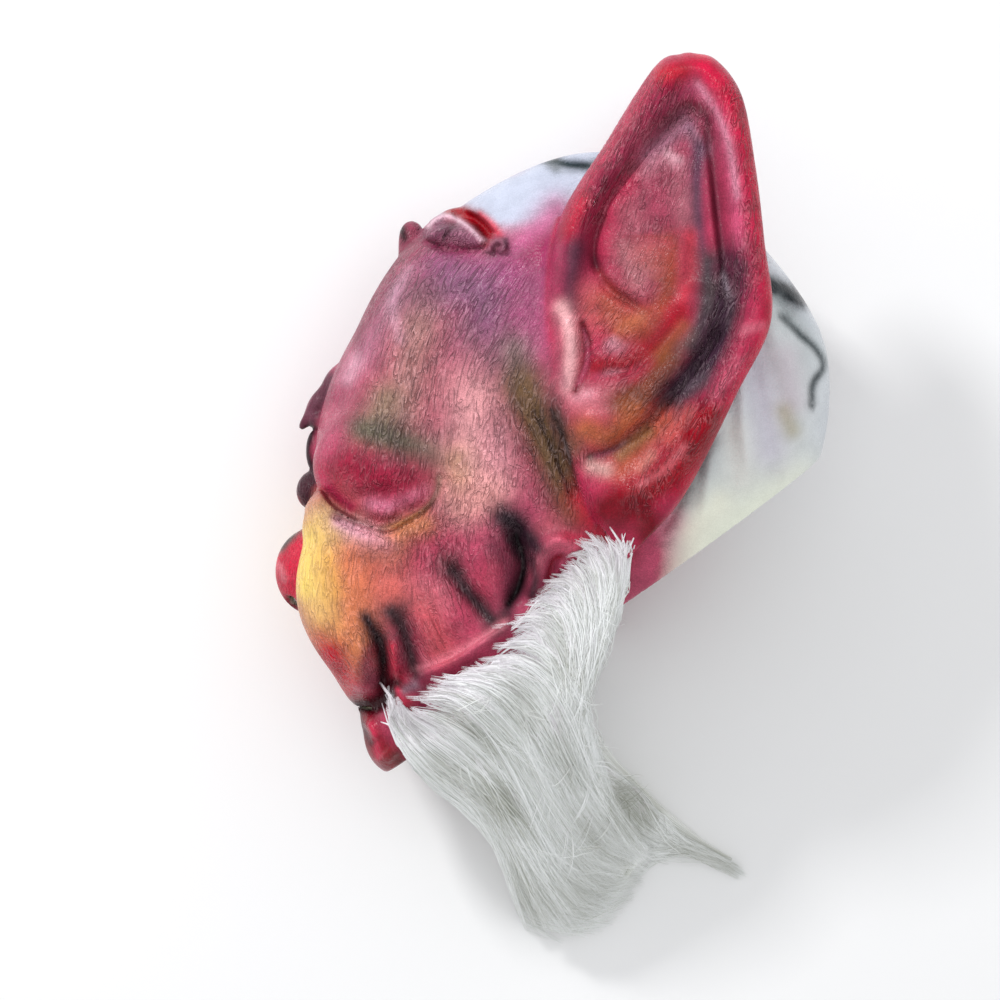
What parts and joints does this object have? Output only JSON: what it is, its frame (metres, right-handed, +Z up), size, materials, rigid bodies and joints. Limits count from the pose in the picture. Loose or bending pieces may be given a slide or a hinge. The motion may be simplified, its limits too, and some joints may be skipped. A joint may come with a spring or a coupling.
{
  "type": "monster mask",
  "caption": "Over-the-head latex monster mask with a wrinkled scowling face, very large pointed ears and white hair along the jaw, lying on its side.",
  "frame": {"origin": "on the floor under the middle of the whole, as the mask lies on its right side", "axes": "+X to the back of the head, +Y to the crown and the ear tips, +Z up, out of the left ear"},
  "size_m": [0.2832, 0.454, 0.1848],
  "materials": {
    "latex": "airbrushed, semi-gloss, wrinkled",
    "hair": "long loose synthetic hair"
  },
  "bodies": {
    "root": {"latex_mask": "latex", "left_beard": "hair", "right_beard": "hair"}
  },
  "joints": []
}
